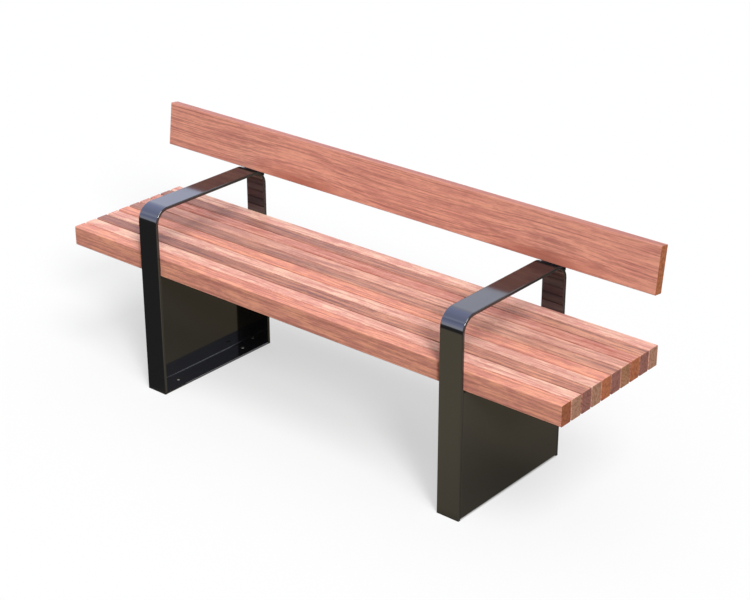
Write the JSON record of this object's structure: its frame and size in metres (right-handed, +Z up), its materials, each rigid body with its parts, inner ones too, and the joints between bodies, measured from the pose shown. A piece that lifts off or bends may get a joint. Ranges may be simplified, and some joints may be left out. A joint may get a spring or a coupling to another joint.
{
  "type": "public seat with armrests",
  "caption": "Timber-batten public seat with a leaning back board, on bent flat-bar end frames that make legs and armrests, with folded end panels that bolt to the ground.",
  "frame": {"origin": "on the ground, under the middle of the seat's length, half way between the front and rear legs' outer faces", "axes": "+X along the seat to the right of someone facing its front, +Y from front to back, +Z up"},
  "size_m": [1.8, 0.4791, 0.7376],
  "materials": {
    "hardwood": "oiled reddish hardwood, planed, with lengthwise grain",
    "black_powder_coat": "gloss black powder coat",
    "stainless_fastener": "plain stainless steel"
  },
  "bodies": {
    "root": {"seat_batten_01": "hardwood", "seat_batten_02": "hardwood", "seat_batten_03": "hardwood", "seat_batten_04": "hardwood", "seat_batten_05": "hardwood", "seat_batten_06": "hardwood", "seat_batten_07": "hardwood", "seat_batten_08": "hardwood", "seat_batten_09": "hardwood", "seat_batten_10": "hardwood", "backrest_board": "hardwood", "left_frame_bar": "black_powder_coat", "right_frame_bar": "black_powder_coat", "left_end_panel": "black_powder_coat", "right_end_panel": "black_powder_coat", "left_back_bracket": "black_powder_coat", "right_back_bracket": "black_powder_coat", "left_seat_screws": "stainless_fastener", "right_seat_screws": "stainless_fastener", "left_seat_washers": "stainless_fastener", "right_seat_washers": "stainless_fastener", "left_back_screws": "stainless_fastener", "right_back_screws": "stainless_fastener", "left_back_washers": "stainless_fastener", "right_back_washers": "stainless_fastener"}
  },
  "joints": []
}
